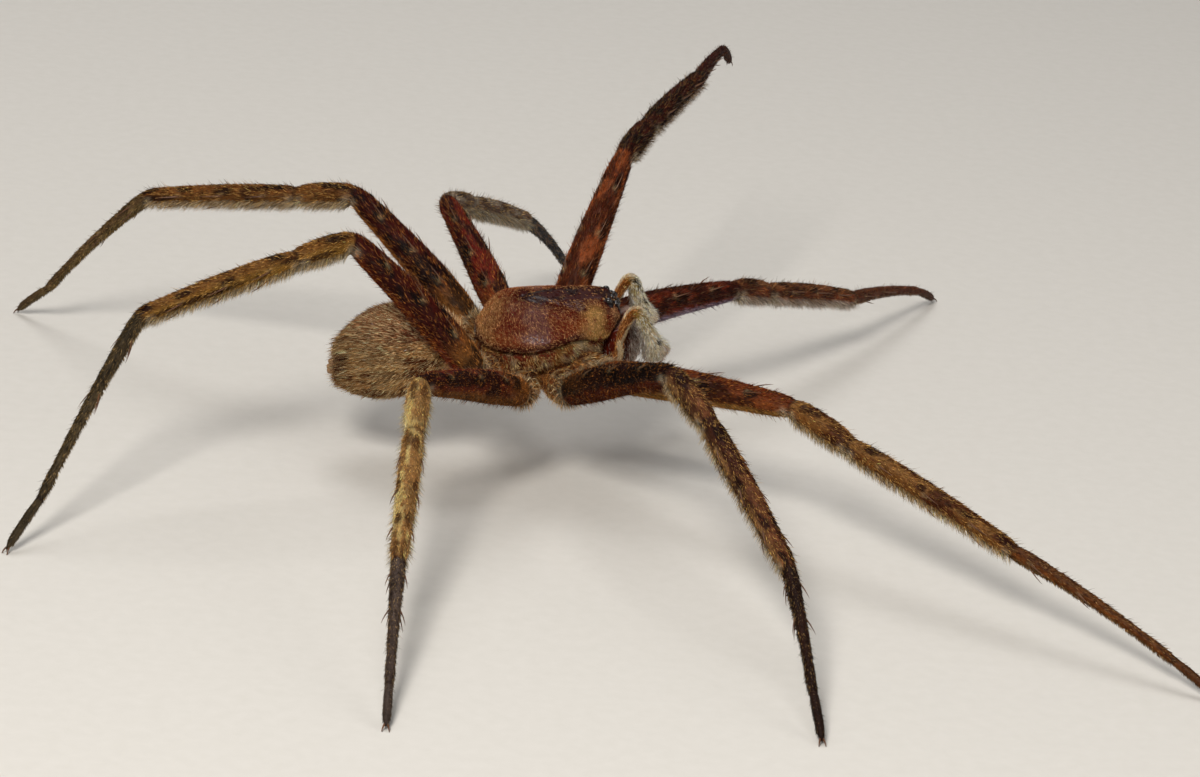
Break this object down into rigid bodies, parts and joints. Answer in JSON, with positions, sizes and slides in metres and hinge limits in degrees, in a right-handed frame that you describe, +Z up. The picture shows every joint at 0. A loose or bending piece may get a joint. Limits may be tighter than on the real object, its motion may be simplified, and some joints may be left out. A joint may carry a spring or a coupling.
{
  "type": "huntsman spider",
  "caption": "Still life-size huntsman spider standing on long spread furry legs, with a flat carapace, an egg-shaped abdomen and a raised foreleg.",
  "frame": {"origin": "on the floor under the centre of the bounding box", "axes": "+X ahead, the way the head points; +Y to the animal's left; +Z up"},
  "size_m": [0.0856, 0.0967, 0.0232],
  "materials": {
    "carapace_shell": "thin horny shell with short fur",
    "coxa_fur": "short fur over shell",
    "abdomen_fur": "dense short fur",
    "spinneret_fur": "short fur",
    "chelicera_shell": "glossy horny shell",
    "fang_horn": "smooth dark horn",
    "palp_fur": "pale short fur",
    "eye_lens": "clear dark lens",
    "femur_fur": "short fur over shell",
    "patella_fur": "short fur over shell",
    "tibia_fur": "short fur over shell",
    "metatarsus_fur": "short fur over shell",
    "tarsus_fur": "short fur, brush under the foot"
  },
  "bodies": {
    "root": {"abdomen": "abdomen_fur", "carapace": "carapace_shell", "chelicera_left": "chelicera_shell", "chelicera_right": "chelicera_shell", "eye_front_middle_left": "eye_lens", "eye_front_middle_right": "eye_lens", "eye_front_side_left": "eye_lens", "eye_front_side_right": "eye_lens", "eye_rear_middle_left": "eye_lens", "eye_rear_middle_right": "eye_lens", "eye_rear_side_left": "eye_lens", "eye_rear_side_right": "eye_lens", "fang_left": "fang_horn", "fang_right": "fang_horn", "femur_left_1": "femur_fur", "femur_left_2": "femur_fur", "femur_left_3": "femur_fur", "femur_left_4": "femur_fur", "femur_right_1": "femur_fur", "femur_right_2": "femur_fur", "femur_right_3": "femur_fur", "femur_right_4": "femur_fur", "metatarsus_left_1": "metatarsus_fur", "metatarsus_left_2": "metatarsus_fur", "metatarsus_left_3": "metatarsus_fur", "metatarsus_left_4": "metatarsus_fur", "metatarsus_right_1": "metatarsus_fur", "metatarsus_right_2": "metatarsus_fur", "metatarsus_right_3": "metatarsus_fur", "metatarsus_right_4": "metatarsus_fur", "palp_left": "palp_fur", "palp_right": "palp_fur", "patella_left_1": "patella_fur", "patella_left_2": "patella_fur", "patella_left_3": "patella_fur", "patella_left_4": "patella_fur", "patella_right_1": "patella_fur", "patella_right_2": "patella_fur", "patella_right_3": "patella_fur", "patella_right_4": "patella_fur", "spinnerets": "spinneret_fur", "sternum_and_coxae": "coxa_fur", "tarsus_left_1": "tarsus_fur", "tarsus_left_2": "tarsus_fur", "tarsus_left_3": "tarsus_fur", "tarsus_left_4": "tarsus_fur", "tarsus_right_1": "tarsus_fur", "tarsus_right_2": "tarsus_fur", "tarsus_right_3": "tarsus_fur", "tarsus_right_4": "tarsus_fur", "tibia_left_1": "tibia_fur", "tibia_left_2": "tibia_fur", "tibia_left_3": "tibia_fur", "tibia_left_4": "tibia_fur", "tibia_right_1": "tibia_fur", "tibia_right_2": "tibia_fur", "tibia_right_3": "tibia_fur", "tibia_right_4": "tibia_fur"}
  },
  "joints": []
}
